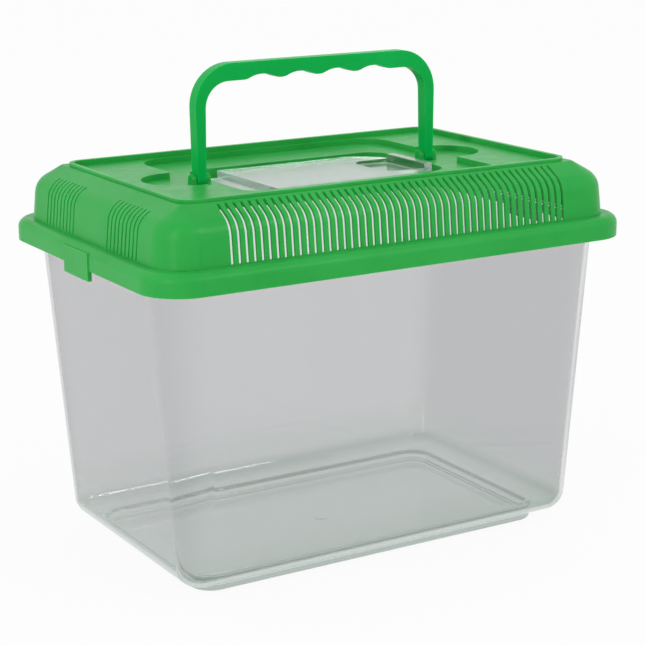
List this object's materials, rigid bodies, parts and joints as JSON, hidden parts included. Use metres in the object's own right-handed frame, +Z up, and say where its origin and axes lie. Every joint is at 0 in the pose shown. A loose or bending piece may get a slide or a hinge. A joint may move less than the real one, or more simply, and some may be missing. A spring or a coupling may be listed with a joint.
{
  "type": "plastic pet keeper",
  "caption": "Clear plastic tank with leaning walls, a clip-over green lid with vent slots, a folding carrying handle and a clear feeding hatch.",
  "frame": {"origin": "middle of the foot's underside, on the surface that the tank stands on", "axes": "+X along the long side towards the hatch's free end, +Y to the back, +Z up"},
  "size_m": [0.231, 0.156, 0.2125],
  "materials": {
    "clear_tank": "clear moulded polystyrene, glossy",
    "green_lid": "green moulded polypropylene, satin gloss",
    "green_handle": "green moulded polypropylene, satin gloss",
    "clear_hatch": "clear moulded polystyrene, glossy"
  },
  "bodies": {
    "tank_body": {"tank": "clear_tank"},
    "lid_body": {"lid": "green_lid"},
    "handle_body": {"handle": "green_handle"},
    "hatch_body": {"hatch": "clear_hatch"}
  },
  "joints": [
    {"name": "lid_lift", "type": "slide", "parent": "tank_body", "child": "lid_body", "axis": [0, 0, 1], "range_m": [0, 0.12]},
    {"name": "handle_fold", "type": "hinge", "parent": "lid_body", "child": "handle_body", "pos_m": [0, 0, 0.1643], "axis": [1, 0, 0], "range_deg": [-75, 75]},
    {"name": "hatch_open", "type": "hinge", "parent": "lid_body", "child": "hatch_body", "pos_m": [-0.046, 0, 0.1597], "axis": [0, -1, 0], "range_deg": [0, 25]}
  ]
}
